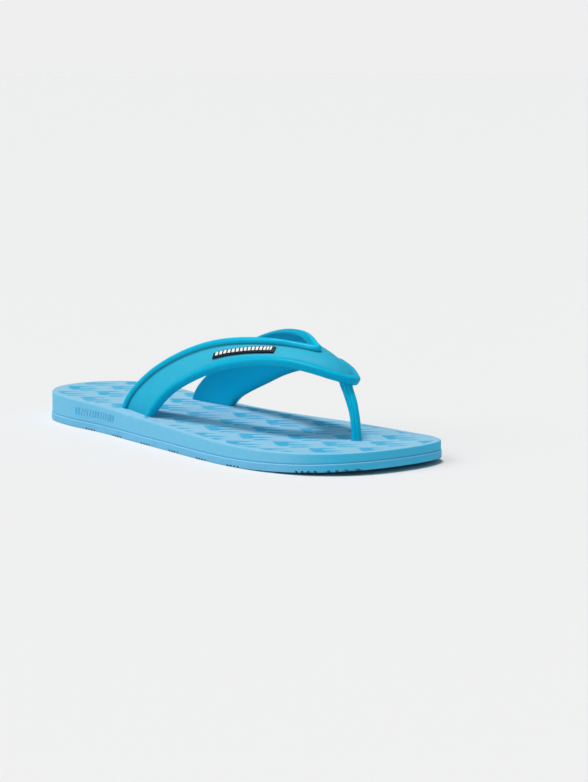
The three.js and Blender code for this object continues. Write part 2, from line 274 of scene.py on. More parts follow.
def ring_faces(rings, count, wrap=False):
    """Quads between equal rings of points; wrap joins the last ring to the first."""
    faces = []
    for i in range(rings if wrap else rings - 1):
        a, b = i * count, ((i + 1) % rings) * count
        for j in range(count):
            k = (j + 1) % count
            faces.append((a + j, a + k, b + k, b + j))
    return faces


def loft(name, rings, wrap=False):
    """A closed body through equal rings of points, with a flat cap at each end unless it wraps."""
    rings = np.asarray(rings, float)
    number, count = rings.shape[:2]
    faces = ring_faces(number, count, wrap)
    if not wrap:
        faces.append(range(count))
        faces.append(range((number - 1) * count, number * count))
    return add_object(name, rings.reshape(-1, 3), faces)


def disc(loop, spacing):
    """Triangles that fill a closed loop in plan, with inner points on a grid."""
    low, high = loop.min(0), loop.max(0)
    grid = np.stack(np.meshgrid(np.arange(low[0], high[0], spacing),
                                np.arange(low[1], high[1], spacing)), -1).reshape(-1, 2)
    a, b = loop, np.roll(loop, -1, 0)
    crosses = ((a[:, 1] <= grid[:, None, 1]) != (b[:, 1] <= grid[:, None, 1]))
    share = (grid[:, None, 1] - a[:, 1]) / np.where(b[:, 1] == a[:, 1], 1e-9, b[:, 1] - a[:, 1])
    inside = (crosses & (grid[:, None, 0] < a[:, 0] + share * (b[:, 0] - a[:, 0]))).sum(1) % 2 == 1
    clear = np.linalg.norm(grid[:, None] - loop[None], axis=2).min(1) > 0.6 * spacing
    points = np.vstack([loop, grid[inside & clear]])
    result = delaunay_2d_cdt([Vector(p) for p in points], [], [list(range(len(loop)))], 1, 1e-6)
    return points, [tuple(f) for f in result[2]]


def layer_body(name, steps, low_height, high_height, spacing):
    """A layer of the sole. Each step is (inset, share of the way up, extra height)."""
    rings = []
    for distance, share, extra in steps:
        xy = inset(distance)
        low, high = low_height(xy[:, 0]), high_height(xy[:, 0])
        rings.append(np.column_stack([xy, low + (high - low) * share + extra]))
    count = len(outline)
    vertices = [np.vstack(rings)]
    faces = ring_faces(len(rings), count)
    total = len(rings) * count
    for ring, first, height, extra in ((rings[0], 0, low_height, steps[0][2]),
                                       (rings[-1], total - count, high_height, steps[-1][2])):
        points, triangles = disc(ring[:, :2], spacing)
        inner = points[count:]
        start = sum(len(v) for v in vertices)
        vertices.append(np.column_stack([inner, height(inner[:, 0]) + extra]))
        faces += [tuple(first + k if k < count else start + k - count for k in f)
                  for f in triangles]
    return add_object(name, np.vstack(vertices), faces)


def boolean(obj, other, operation="DIFFERENCE"):
    modifier = obj.modifiers.new("boolean", "BOOLEAN")
    modifier.object = other
    modifier.operation = operation
    modifier.solver = "EXACT"
    depsgraph = bpy.context.evaluated_depsgraph_get()
    mesh = bpy.data.meshes.new_from_object(obj.evaluated_get(depsgraph))
    obj.modifiers.clear()
    obj.data = mesh
    bpy.data.objects.remove(other)


def join(objects):
    """One object out of several that don't touch each other."""
    bm = bmesh.new()
    for o in objects:
        bm.from_mesh(o.data)
    bm.to_mesh(objects[0].data)
    bm.free()
    for o in objects[1:]:
        bpy.data.objects.remove(o)
    return objects[0]


def coordinates(obj):
    co = np.zeros(len(obj.data.vertices) * 3)
    obj.data.vertices.foreach_get("co", co)
    return co.reshape(-1, 3) / MM


def store(obj, name, kind, values):
    attribute = obj.data.attributes.new(name, kind, "POINT")
    key = "vector" if kind == "FLOAT_VECTOR" else "value"
    attribute.data.foreach_set(key, np.asarray(values, np.float32).ravel())


def store_faces(obj, name, test):
    """For each face, 1 where the test of its centre holds."""
    centres = np.array([face.center for face in obj.data.polygons]) / MM
    attribute = obj.data.attributes.new(name, "FLOAT", "FACE")
    attribute.data.foreach_set("value", test(centres).astype(np.float32))


def finish_piece(obj, material, slot, angle=38, **fields):
    """Smooth shading up to an angle, its resting place for the textures, and its material."""
    obj.data.materials.clear()
    obj.data.materials.append(material)
    obj.data.shade_smooth()
    obj.data.set_sharp_from_angle(angle=math.radians(angle))
    rest = coordinates(obj)
    store(obj, "rest", "FLOAT_VECTOR", rest)
    for name, values in fields.items():
        store(obj, name, "FLOAT", values(rest))
    return obj


# ---- Materials ----

# Colours, each part from 0 to 255.
FOOTBED_BASE = (140, 193, 219)
FOOTBED_SIDE = (120, 202, 238)
FOOTBED_INK = (26, 167, 211)
OUTSOLE_SIDE = (117, 196, 235)
# The next four colours are lit and shaded copies of the beads' colour and of the web's, for painted
# light and shade. The web is also paler than the beads, mostly as painted light and sheen where it
# faces up.
STRAP_RIM = (0, 191, 228)
STRAP_RIM_SHADED = (0, 178, 217)
STRAP_WEB = (58, 184, 215)
STRAP_WEB_SHADED = (30, 173, 209)
STRAP_INNER = (0, 174, 213)
# Pairs of linear colours that the badge's two materials vary between.
BADGE_BLACK = ((0.006, 0.007, 0.009), (0.014, 0.015, 0.018))
MARK_WHITE = ((0.80, 0.81, 0.82), (0.90, 0.90, 0.90))


class Shader:
    """A material built from nodes, with short calls for the ones used here."""

    def __init__(self, name):
        self.material = bpy.data.materials.new(name)
        self.material.use_nodes = True
        self.tree = self.material.node_tree
        self.surface = self.tree.nodes["Principled BSDF"]
        self.rest = self.add("ShaderNodeAttribute", attribute_name="rest").outputs["Vector"]

    def add(self, kind, inputs=None, **settings):
        node = self.tree.nodes.new(kind)
        for key, value in settings.items():
            setattr(node, key, value)
        for key, value in (inputs or {}).items():
            self.put(node.inputs[key], value)
        return node

    def put(self, socket, value):
        if isinstance(value, bpy.types.NodeSocket):
            self.tree.links.new(value, socket)
        else:
            socket.default_value = value

    def math(self, operation, *values):
        node = self.add("ShaderNodeMath", operation=operation)
        for socket, value in zip(node.inputs, values):
            self.put(socket, value)
        return node.outputs[0]

    def field(self, name):
        return self.add("ShaderNodeAttribute", attribute_name=name).outputs["Fac"]

    def noise(self, size, detail, vector=None):
        """Noise with features of about size millimetres."""
        inputs = {"Vector": vector or self.rest, "Scale": 1 / size, "Detail": detail}
        return self.add("ShaderNodeTexNoise", inputs).outputs["Fac"]

    def ramp(self, value, low, high, out_low=0.0, out_high=1.0):
        return self.add("ShaderNodeMapRange", {
            "Value": value, "From Min": low, "From Max": high,
            "To Min": out_low, "To Max": out_high,
        }, interpolation_type="SMOOTHSTEP").outputs["Result"]

    def mix(self, factor, a, b):
        node = self.add("ShaderNodeMix", data_type="RGBA")
        for key, value in (("Factor_Float", factor), ("A_Color", a), ("B_Color", b)):
            socket = next(s for s in node.inputs if s.identifier == key)
            self.put(socket, (*value, 1) if isinstance(value, tuple) else value)
        return next(s for s in node.outputs if s.identifier == "Result_Color")

    def bump(self, height, distance, normal=None):
        inputs = {"Height": height, "Distance": distance * MM, "Strength": 1.0}
        if normal:
            inputs["Normal"] = normal
        return self.add("ShaderNodeBump", inputs).outputs["Normal"]

    def finish(self, color, roughness, normal, **constants):
        self.put(self.surface.inputs["Base Color"], color)
        self.put(self.surface.inputs["Roughness"], roughness)
        self.put(self.surface.inputs["Normal"], normal)
        for key, value in constants.items():
            self.surface.inputs[key.replace("_", " ")].default_value = value
        return self.material


BLACK = (0, 0, 0)


def srgb(red, green, blue):
    """Linear values of a colour given as 0 to 255."""
    values = [c / 255 for c in (red, green, blue)]
    return tuple(c / 12.92 if c <= 0.04045 else ((c + 0.055) / 1.055) ** 2.4 for c in values)


def scaled(color, factor):
    return tuple(c * factor for c in color)


def foam_normal(s):
    """Fine closed-cell foam skin: small pits over a faint unevenness."""
    pits = s.add("ShaderNodeTexVoronoi", {"Vector": s.rest, "Scale": 1.6}).outputs["Distance"]
    coarse = s.bump(s.noise(7, 2), 0.10)
    fine = s.bump(s.noise(0.55, 3), 0.05, coarse)
    return s.bump(pits, 0.02, fine)


def soft_band(s, value, centre, half):
    """1 within half of the centre, 0 outside, with a soft edge; half may vary over the surface."""
    gap = s.math("ABSOLUTE", s.math("SUBTRACT", value, centre))
    if isinstance(half, (int, float)):
        return s.ramp(gap, half + PRINT_SOFT, half - PRINT_SOFT)
    return s.ramp(s.math("SUBTRACT", gap, half), PRINT_SOFT, -PRINT_SOFT)


def print_mask(s):
    """Staggered rows of slanted blocks with tapering dashes, from 0 to 1."""
    wobble = s.add("ShaderNodeTexNoise", {"Vector": s.rest, "Scale": 0.35, "Detail": 3})
    shift = s.add("ShaderNodeVectorMath", operation="MULTIPLY_ADD")
    s.put(shift.inputs[0], wobble.outputs["Color"])
    s.put(shift.inputs[1], (2.2, 2.2, 0))
    s.put(shift.inputs[2], s.rest)
    axes = s.add("ShaderNodeSeparateXYZ", {"Vector": shift.outputs[0]})
    x, y = axes.outputs["X"], axes.outputs["Y"]
    cos, sin = math.cos(PRINT_TURN), math.sin(PRINT_TURN)
    right = s.math("ADD", s.math("MULTIPLY", x, cos), s.math("MULTIPLY", y, sin))
    back = s.math("ADD", s.math("MULTIPLY", x, -sin), s.math("MULTIPLY", y, cos))

    # The mark's row and column, and the place within it: p along the row, q across.
    row_value = s.math("DIVIDE", s.math("ADD", back, PRINT_START[1]), PRINT_ROW)
    row = s.math("FLOOR", row_value)
    q = s.math("MULTIPLY", s.math("SUBTRACT", row_value, row), PRINT_ROW)
    along = s.math("SUBTRACT", s.math("DIVIDE", s.math("SUBTRACT", right, PRINT_START[0]), PRINT_PITCH),
                   s.math("MULTIPLY", row, PRINT_STAGGER))
    column = s.math("FLOOR", along)
    lines = s.add("ShaderNodeCombineXYZ", {"X": s.math("DIVIDE", right, 16),
                                           "Y": s.math("DIVIDE", back, 3.2)}).outputs[0]
    ragged = s.noise(1, 2, lines)
    p = s.math("MULTIPLY", s.math("SUBTRACT", along, column), PRINT_PITCH)
    p = s.math("ADD", p, s.math("MULTIPLY_ADD", ragged, 6, -3))

    slanted = s.math("SUBTRACT", p, s.math("MULTIPLY", s.math("SUBTRACT", q, 10), -0.12))
    block = soft_band(s, slanted, 5.4, s.ramp(q, 4, 12, 2.3, 3.4))
    mask = s.math("MULTIPLY", block, soft_band(s, q, 12.2, 7.6))
    for centre, start, length, half in PRINT_DASHES:
        fade = s.ramp(p, start + length, start + 0.35 * length)
        thick = s.math("SUBTRACT", s.math("MULTIPLY", fade, half + 0.5), 0.5)
        begins = s.ramp(p, start - PRINT_SOFT, start + PRINT_SOFT)
        mask = s.math("MAXIMUM", mask, s.math("MULTIPLY", soft_band(s, q, centre, thick), begins))
    cell = s.add("ShaderNodeCombineXYZ", {"X": row, "Y": column}).outputs[0]
    chance = s.add("ShaderNodeTexWhiteNoise", {"Vector": cell}).outputs["Value"]
    return s.math("MULTIPLY", mask, s.ramp(chance, 0, 1, 0.82, 1.0))


def print_streaks(s):
    """Thin light streaks along the print's rows, as the ink's coverage."""
    turned = s.add("ShaderNodeMapping", {"Vector": s.rest, "Rotation": (0, 0, -PRINT_TURN)})
    stretched = s.add("ShaderNodeVectorMath", operation="MULTIPLY")
    s.put(stretched.inputs[0], turned.outputs[0])
    s.put(stretched.inputs[1], (0.14, 0.85, 1))
    return s.ramp(s.noise(1, 2, stretched.outputs[0]), 0.36, 0.52, 0.55, 1.0)


def toe_tone(s, color, side):
    """Painted shade: a deeper, bluer colour on the walls round the toe, which face away from the light
    from the left.
    """
    x = s.add("ShaderNodeSeparateXYZ", {"Vector": s.rest}).outputs["X"]
    toe_shade_color = (side[0] * 0.36, side[1] * 0.94, side[2])
    return s.mix(s.ramp(x, 104, 134), color, toe_shade_color)


def footbed_material():
    s = Shader("footbed_foam_print")
    base = srgb(*FOOTBED_BASE)
    side = srgb(*FOOTBED_SIDE)
    ink = srgb(*FOOTBED_INK)
    edge = s.field("edge")
    on_top = s.ramp(edge, 0.5, 0.9)
    cloudy = s.ramp(s.noise(9, 4), 0.3, 0.75)
    pale = tuple(min(1, c * 1.07) for c in base)
    ground = s.mix(cloudy, base, pale)
    worn = s.mix(s.ramp(s.noise(28, 2), 0.35, 0.7, 0.0, 0.22), ground, pale)
    ink_share = s.math("MULTIPLY", print_mask(s), s.ramp(edge, 3.4, 4.6))
    ink_share = s.math("MULTIPLY", ink_share, s.ramp(s.noise(0.8, 2), 0.2, 0.5, 0.8, 1.0))
    ink_share = s.math("MULTIPLY", ink_share, print_streaks(s))
    top = s.mix(ink_share, worn, ink)
    wall = s.mix(s.ramp(s.noise(1.4, 4), 0.3, 0.7), scaled(side, 1.02), scaled(side, 0.965))
    wall = toe_tone(s, wall, side)
    # Painted shade: the foot of the footbed's wall is darkened where it meets the outsole, as in the
    # shade of the gap between them.
    seam = (side[0] * 0.1, side[1] * 0.5, side[2] * 0.7)
    wall = s.mix(s.math("MULTIPLY", s.field("seam"), 0.45), wall, seam)
    rib = (side[0] * 0.3, side[1] * 0.86, side[2])
    wall = s.mix(s.math("MULTIPLY", s.field("rib"), 0.6), wall, rib)
    color = s.mix(on_top, wall, top)
    roughness = s.ramp(s.noise(2.5, 2), 0.2, 0.8, 0.58, 0.72)
    return s.finish(color, roughness, foam_normal(s), Specular_IOR_Level=0.2)


def outsole_material():
    s = Shader("outsole_rubber")
    side = srgb(*OUTSOLE_SIDE)
    color = s.mix(s.ramp(s.noise(4, 3), 0.3, 0.7), side, scaled(side, 0.92))
    color = toe_tone(s, color, side)
    # Painted highlight: the chamfer at the top of the outsole's wall is lightened, as where it faces up
    # into the light.
    color = s.mix(s.field("lip"), color, tuple(min(1, 0.05 + c * 1.05) for c in side))
    # Painted shade: the inner faces of the tread's grooves are darkened.
    color = s.mix(s.field("groove"), color, scaled(side, 0.3))
    roughness = s.ramp(s.noise(2, 2), 0.2, 0.8, 0.5, 0.66)
    coarse = s.bump(s.noise(6, 2), 0.08)
    fine = s.bump(s.noise(0.4, 3), 0.035, coarse)
    return s.finish(color, roughness, fine, Specular_IOR_Level=0.2)


def strap_material():
    s = Shader("strap_satin_rubber")
    # Painted light and shade: a field from 0 to 1 blends shaded and lit copies of the beads', the web's
    # and the inner face's colours.
    tone = s.field("tone")
    rim = srgb(*STRAP_RIM)
    web = s.mix(tone, srgb(*STRAP_WEB_SHADED), srgb(*STRAP_WEB))
    inner = srgb(*STRAP_INNER)
    inner = s.mix(tone, scaled(inner, 0.8), scaled(inner, 1.1))
    face = s.field("web")
    back = s.field("inner")
    bead = s.mix(tone, srgb(*STRAP_RIM_SHADED), rim)
    mottled = s.mix(s.ramp(s.noise(5, 3), 0.35, 0.65, 0, 0.05), bead, BLACK)
    satin = s.mix(s.ramp(s.noise(11, 3), 0.3, 0.7, 0, 0.05), web, BLACK)
    color = s.mix(face, mottled, satin)
    color = s.mix(back, color, inner)
    # Painted shade in the creases and on the wall along the V edge.
    color = s.mix(s.math("MULTIPLY", s.field("crease"), 0.55), color, scaled(rim, 0.35))
    speckle = s.ramp(s.noise(1.2, 2), 0.2, 0.8, -0.04, 0.04)
    roughness = s.math("ADD", s.math("MULTIPLY_ADD", face, 0.14, 0.36), speckle)
    coarse = s.bump(s.noise(9, 2), 0.10)
    grain = s.bump(s.noise(0.35, 3), 0.03, coarse)
    return s.finish(color, roughness, grain, Specular_IOR_Level=0.1)


def badge_material():
    s = Shader("badge_black_matte")
    color = s.mix(s.noise(1.5, 3), *BADGE_BLACK)
    grain = s.bump(s.noise(0.25, 3), 0.02)
    return s.finish(color, s.ramp(s.noise(0.8, 2), 0.2, 0.8, 0.38, 0.52), grain, Specular_IOR_Level=0.2)


def marks_material():
    s = Shader("badge_white_rubber")
    color = s.mix(s.noise(1.2, 3), *MARK_WHITE)
    grain = s.bump(s.noise(0.3, 3), 0.015)
    return s.finish(color, s.ramp(s.noise(0.7, 2), 0.2, 0.8, 0.42, 0.55), grain)


# ---- Strap ----

upper_edge = curve([p[0] for p in BAND])
lower_edge = curve([p[1] for p in BAND])


def band_frame(t):
    """Where the band's section starts, and its directions, at each place t along it."""
    t = np.atleast_1d(np.asarray(t, float))
    a, b = np.clip(t - 0.01, 0, BAND_END), np.clip(t + 0.01, 0, BAND_END)
    upper, lower = upper_edge(t), lower_edge(t)
    across = lower - upper
    width = np.linalg.norm(across, axis=1, keepdims=True)
    across = across / width
    along = unit(upper_edge(b) - upper_edge(a)) + unit(lower_edge(b) - lower_edge(a))
    out = unit(np.cross(across, along))
    return upper, across, width[:, 0], out


def along_band(values, t):
    """What is given at each pair of the band's points, at the places t between them."""
    return np.interp(t, range(len(values)), values)


def tube_face(bead, lift):
    """The upper bead: a round tube from the wall to a crisp corner at the web."""
    outside, inside = min(bead / 2, 1.9), min(bead / 2, 2.5)
    rise = WEB_DROP + 0.1
    angles = [math.pi / 2 * k / 8 for k in range(9)]
    pairs = [(outside * (1 - math.cos(a)), rise * (math.sin(a) - 1)) for a in angles]
    pairs += [((outside + bead - inside) / 2, 0.0)]
    pairs += [(bead - inside * (1 - math.cos(a)), rise * (math.sin(a) - 1)) for a in reversed(angles)]
    pairs = [(d, h + lift * math.sin(math.pi * d / bead)) for d, h in pairs]
    pairs[-1] = (bead - 0.05, -WEB_DROP + 0.1)
    return pairs + [(bead + 0.3, -WEB_DROP)]


def half_face(bead, step, count):
    """Half of the outer face, from the wall to the web, as (distance, height) pairs."""
    corner = 1.6
    angles = np.linspace(0, math.pi / 2, 7)
    pairs = [(corner * (1 - math.cos(a)), corner * (math.sin(a) - 1)) for a in angles]
    crest = bead - step
    pairs += [(corner + (crest - corner) * k / 3, 0.0) for k in (1, 2, 3)]
    for k in range(1, count + 1):
        share = k / count
        pairs.append((crest + step * share, -WEB_DROP * smooth(share, 0, 1).item()))
    return pairs


def band_profile(t, width):
    """The band's section as (distance across, height) pairs, once round it, and what each is."""
    dome = along_band(WEB_DOME, t)
    upper = tube_face(UPPER_BEAD * along_band(BEAD_SPREAD, t), along_band(BEAD_LIFT, t))
    step = np.interp(t, (6, 9, 14, 17), (1.9, 1.1, 1.1, 1.9))
    lower = [(width - d, h) for d, h in reversed(half_face(LOWER_BEAD, step, 8))]
    first, last = upper[-1][0], lower[0][0]
    web = [(first + (last - first) * k / 15, -WEB_DROP) for k in range(1, 15)]
    face = upper + web + lower
    radius = np.interp(t, (8, 10, 13, 15), (1.1, 1.8, 1.8, 1.1))
    turn = [(k / 4) * math.pi / 2 for k in range(5)]
    low, high = -BAND_THICKNESS, width
    wall_far = [(high, -1.6 - k * 0.76) for k in (1, 2)]
    corner_far = [(high - radius * (1 - math.cos(a)), low + radius * (1 - math.sin(a))) for a in turn]
    inner = [(high - radius - (high - 2 * radius) * k / 15, low) for k in range(1, 15)]
    corner_near = [(radius * (1 - math.sin(a)), low + radius * (1 - math.cos(a))) for a in turn]
    wall_near = [(0, -2.15 - k * 0.56) for k in (2, 1)]
    ring = np.array(face + wall_far + corner_far + inner + corner_near + wall_near)
    middle = np.sin(np.clip(ring[:, 0] / width, 0, 1) * math.pi)
    between = (np.array(face)[:, 0] - first) / (last - first)
    crown = np.sin(np.clip(between, 0, 1) * math.pi) ** 0.8
    domed = np.concatenate([crown, np.zeros(2), middle[len(face) + 2:-2], np.zeros(2)])
    ring[:, 1] += dome * domed
    return ring


def band_rings(places, grow=0.0):
    upper, across, width, out = band_frame(places)
    rings = []
    for k, t in enumerate(places):
        profile = band_profile(t, width[k])
        if grow:
            ahead = unit(np.roll(profile, -1, 0) - np.roll(profile, 1, 0))
            profile = profile + grow * np.stack([-ahead[:, 1], ahead[:, 0]], 1)
        rings.append(upper[k] + np.outer(profile[:, 0], across[k]) + np.outer(profile[:, 1], out[k]))
    return np.array(rings)


def arm_places(reach, count, outer):
    """Places from the foot of the outer or the inner arm up to a reach along it."""
    places = np.linspace(0, reach, count)
    return places if outer else BAND_END - places


def pocket_tool(outer):
    """The foot of an arm, grown a little, to cut its pocket in the footbed."""
    rings = band_rings(arm_places(1.6, 14, outer), POCKET_ROOM)
    foot = rings[0].copy()
    foot[:, 2] -= 0.6
    return loft("pocket", np.concatenate([foot[None], rings]))


def crossing_loop(outer):
    """Where an arm's surface passes the footbed's top, once round it in plan."""
    rings = band_rings(arm_places(2.0, 60, outer))
    over = rings[:, :, 2] - top_height(rings[:, :, 0])
    first = np.argmax(over > 0, axis=0)
    columns = np.arange(rings.shape[1])
    low, high = over[first - 1, columns], over[first, columns]
    share = (low / (low - high))[:, None]
    return (rings[first - 1, columns] * (1 - share) + rings[first, columns] * share)[:, :2]


def hull(points):
    """The convex outline of points in plan."""
    ordered = sorted(map(tuple, points))
    halves = []
    for row in (ordered, ordered[::-1]):
        half = []
        for p in row:
            while len(half) > 1 and ((half[-1][0] - half[-2][0]) * (p[1] - half[-2][1])
                                     <= (half[-1][1] - half[-2][1]) * (p[0] - half[-2][0])):
                half.pop()
            half.append(p)
        halves += half[:-1]
    return np.array(halves)


def lip_ring(name, loop, gap, width, height):
    """A low rounded rib on the footbed's top, round a closed loop in plan."""
    loop = even(hull(loop), 150)
    for _ in range(6):
        loop = (np.roll(loop, 1, 0) + 2 * loop + np.roll(loop, -1, 0)) / 4
    ahead = unit(np.roll(loop, -1, 0) - np.roll(loop, 1, 0))
    outward = np.stack([ahead[:, 1], -ahead[:, 0]], 1)
    if np.sum((loop - loop.mean(0)) * outward) < 0:
        outward = -outward
    rings = []
    for point, away in zip(loop, outward):
        ring = []
        for k in range(12):
            a = 2 * math.pi * k / 12
            xy = point + away * (gap + width / 2 * (1 + math.cos(a)))
            ring.append([*xy, top_height(xy[0]) + height * math.sin(a)])
        rings.append(ring)
    return loft(name, rings, wrap=True)


def badge_place(u, v):
    """Place along the band and share across it, for a place on the badge from 0 to 1 each way."""
    (a, b), (c, d) = (np.array(pair) for pair in BADGE_CORNERS)
    heel = a + (b - a) * v
    toe = c + (d - c) * v
    return heel + (toe - heel) * u


def slab(name, u_ends, v_ends, low, high, bevel=0.2, steps=24, grow=0.0):
    """A thin slab over a part of the badge's place, with a small bevel all round its top."""
    rings = []
    for k in range(steps + 1):
        end = min(k, steps - k) == 0
        u = u_ends[0] + (u_ends[1] - u_ends[0]) * k / steps
        forth = (grow if end else 0) * (-1 if k == 0 else 1)
        inward = bevel if end else 0
        top = high - inward
        ring = []
        for v, height, side in ((v_ends[0], low, -1), (v_ends[0], top - bevel, -1),
                                (v_ends[0], top, -1), (v_ends[1], top, 1),
                                (v_ends[1], top - bevel, 1), (v_ends[1], low, 1)):
            place, share = badge_place(u, v)
            upper, across, width, out = band_frame(place)
            along = np.cross(out, across)
            shift = side * (grow - (bevel if height == top else 0) - inward * 0.3)
            ring.append((upper + across * (width * share + shift)[:, None] + along * forth
                         + out * (height + web_height(place)))[0])
        rings.append(ring)
    return loft(name, rings)


def web_height(t):
    """Height of the web's middle over the beads' top."""
    return along_band(WEB_DOME, t) - WEB_DROP


def make_strap():
    places = np.concatenate([np.linspace(k, k + 1, 15)[:-1] for k in range(BAND_END)] + [[BAND_END]])
    strap = loft("strap_band", band_rings(places))
    recess = slab("recess", (0, 1), (0, 1), BADGE_RISE - BADGE_THICKNESS - 0.05, 4, 0.0, 24, 0.7)
    boolean(strap, recess)
    return strap


def strap_fields(rest):
    """For each vertex of the strap: its share of the web and inner face, its painted shade in the
    creases, and its share of painted light.
    """
    places = np.linspace(0, BAND_END, 441)
    width = band_frame(places)[2]
    profiles = np.array([band_profile(t, wide) for t, wide in zip(places, width)])
    across, height = profiles[:, :, 0], profiles[:, :, 1]
    upper = (UPPER_BEAD * along_band(BEAD_SPREAD, places))[:, None]
    web = (smooth(across, upper - 0.5, upper) * smooth(height, -3.6, -2.6)
           * smooth(width[:, None] - across, LOWER_BEAD - 1.9, LOWER_BEAD))
    inner = smooth(-height, 3.7, 4.3)
    # Painted shade: a dark line in the crease between the upper bead and the web, a fainter one where
    # the web meets the lower bead, and darker walls along the band's V edge.
    crease = np.exp(-((across - upper - 0.1) / 0.55) ** 2) * smooth(-height, 0.6, 1.8) * (1 - inner)
    low_edge = width[:, None] - across - LOWER_BEAD
    crease = np.maximum(crease, 0.6 * np.exp(-(low_edge / 0.7) ** 2) * (1 - inner))
    in_v = (smooth(places, 3, 5) * (1 - smooth(places, 18, 20)))[:, None]
    in_v = in_v * (1 - smooth(across, 0.1, 0.7)) * smooth(-height, 0.7, 1.7) * (1 - inner)
    crease = np.maximum(crease, 0.7 * in_v)
    # Painted light and shade: the web is lit on the arms and deeper at the feet and round the nose, the
    # upper bead lit and the lower bead shaded, and the inner face lit in a band near its low edge and
    # shaded at both edges.
    share = across / width[:, None]
    web_tone = np.interp(places, *WEB_PAINTED_LIGHT)[:, None]
    tone = web_tone * web + smooth(share, 0.8, 0.3) * (1 - web)
    tone = tone * (1 - inner) + np.interp(share, *INNER_PAINTED_LIGHT) * inner
    tree = KDTree(web.size)
    for k, point in enumerate(band_rings(places).reshape(-1, 3)):
        tree.insert(point, k)
    tree.balance()
    nearest = [tree.find(p)[1] for p in rest]
    return [values.ravel()[nearest] for values in (web, inner, crease, tone)]


# ---- Toe post, its plug and the badge ----

def make_post():
    foot_z = float(top_height(POST_FOOT[0]))
    points = [(*POST_FOOT, foot_z - POST_SINK), (*POST_FOOT, foot_z), *POST_BEND]
    path = even(curve(points)(np.linspace(0, len(points) - 1, 600)), 90, closed=False)
    tangent = unit(np.gradient(path, axis=0))
    side = np.cross([0.0, 1.0, 0.0], tangent)
    u = unit(side)
    v = np.cross(tangent, u)
    angles = np.linspace(0, 2 * math.pi, 73)[:-1]
    # A mould seam on each side: a fine ridge between two shallow hollows.
    seam = np.zeros(len(angles))
    for centre in (POST_SEAM, POST_SEAM + 180):
        gap = np.abs((np.degrees(angles) - centre + 180) % 360 - 180)
        seam += 0.35 * np.exp(-(gap / 9) ** 2) - 0.45 * np.exp(-((gap - 21) / 7) ** 2)
    rings = []
    for k, centre in enumerate(path):
        t = k / (len(path) - 1)
        radius = POST_RADIUS + (POST_TOP_RADIUS - POST_RADIUS) * smooth(t, 0.45, 0.7)
        radius = radius + 0.7 * smooth(t, 0.8, 1.0)
        r = radius + seam * smooth(t, 0.08, 0.12)
        rings.append(centre + np.outer(r * np.cos(angles), u[k]) + np.outer(r * np.sin(angles), v[k]))
    return loft("toe_post_bar", rings)


def turned(name, profile, x, y, segments=96):
    """A round upright piece; the profile's ends lie near its axis."""
    angles = np.linspace(0, 2 * math.pi, segments + 1)[:-1]
    rings = [np.stack([x + r * np.cos(angles), y + r * np.sin(angles), np.full(segments, z)], 1)
             for r, z in profile]
    return loft(name, rings)


def plug_profile(grow=0.0):
    """The plug's side, as (radius, height) pairs; grown, the plain room that it needs."""
    ground = float(ground_height(POST_FOOT[0]))
    low = ground + 0.5
    high = float(top_height(POST_FOOT[0])) - POST_SINK - 0.65
    head, stem = PLUG_HEAD_RADIUS, PLUG_STEM_RADIUS
    if grow:
        return [(head + grow, ground - 3), (head + grow, low + 2 + grow),
                (stem + grow, low + 2 + grow), (stem + grow, high + grow)]
    return [(0.4, low + 0.5), (2.2, low + 0.5), (2.6, low + 0.1), (5.2, low + 0.1), (5.5, low + 0.45),
            (6.3, low + 0.45), (6.6, low + 0.1), (head - 0.7, low), (head - 0.2, low + 0.2),
            (head, low + 0.7), (head, low + 1.6), (head - 0.3, low + 2), (stem + 0.6, low + 2),
            (stem, low + 2.5), (stem, high - 0.3), (stem - 0.3, high)]


def make_badge():
    backing = slab("badge_backing", (0, 1), (0, 1), BADGE_RISE - BADGE_THICKNESS, BADGE_RISE, 0.22)
    bars = []
    pitch = (BAR_SPAN[1] - BAR_SPAN[0]) / BAR_COUNT
    for k in range(BAR_COUNT):
        a = BAR_SPAN[0] + pitch * k
        bars.append(slab(f"bar{k}", (a, a + BAR_FILL * pitch), BAR_SIDES,
                         BADGE_RISE - 0.1, BADGE_RISE + BAR_RISE, 0.08, 3))
    marks = join(bars)
    marks.name = "badge_bars"
    return backing, marks


# ---- Sole ----

def make_footbed():
    r = EDGE_RADIUS
    fillet = [(k / 5) * math.pi / 2 for k in range(6)]
    steps = [(FOOTBED_INSET + 1.2, 0, 0), (FOOTBED_INSET + 0.35, 0, 0), (FOOTBED_INSET + 0.08, 0, 0.12),
             (FOOTBED_INSET, 0, 0.4), (FOOTBED_INSET, 0, 1.0), (FOOTBED_INSET, 0.35, 0),
             (FOOTBED_INSET, 0.7, 0)]
    steps += [(FOOTBED_INSET + r * (1 - math.cos(a)), 1, r * (math.sin(a) - 1)) for a in fillet]
    steps += [(FOOTBED_INSET + d, 1, 0) for d in (1.0, 1.8, 3.2, 5.5, 8)]
    body = layer_body("footbed_foam", steps, lambda x: seam_height(x) + 0.08, top_height, 3.5)
    lips = [lip_ring("lip", crossing_loop(outer), *ARM_LIP) for outer in (True, False)]
    angles = np.linspace(0, 2 * math.pi, 73)[:-1]
    circle = POST_FOOT + COLLAR_RADIUS * np.stack([np.cos(angles), np.sin(angles)], 1)
    lips.append(lip_ring("collar", circle, *POST_COLLAR))
    boolean(body, join(lips), "UNION")
    boolean(body, join([pocket_tool(outer) for outer in (True, False)]))
    foot_z = float(top_height(POST_FOOT[0]))
    hole = [(POST_HOLE_RADIUS, foot_z - POST_SINK - 0.3), (POST_HOLE_RADIUS, foot_z - 0.2),
            (POST_HOLE_RADIUS + 0.2, foot_z + 2)]
    boolean(body, turned("hole", hole, *POST_FOOT))
    boolean(body, turned("plug_room", plug_profile(PLUG_ROOM), *POST_FOOT))
    boolean(body, heel_ribs(), "UNION")
    return body


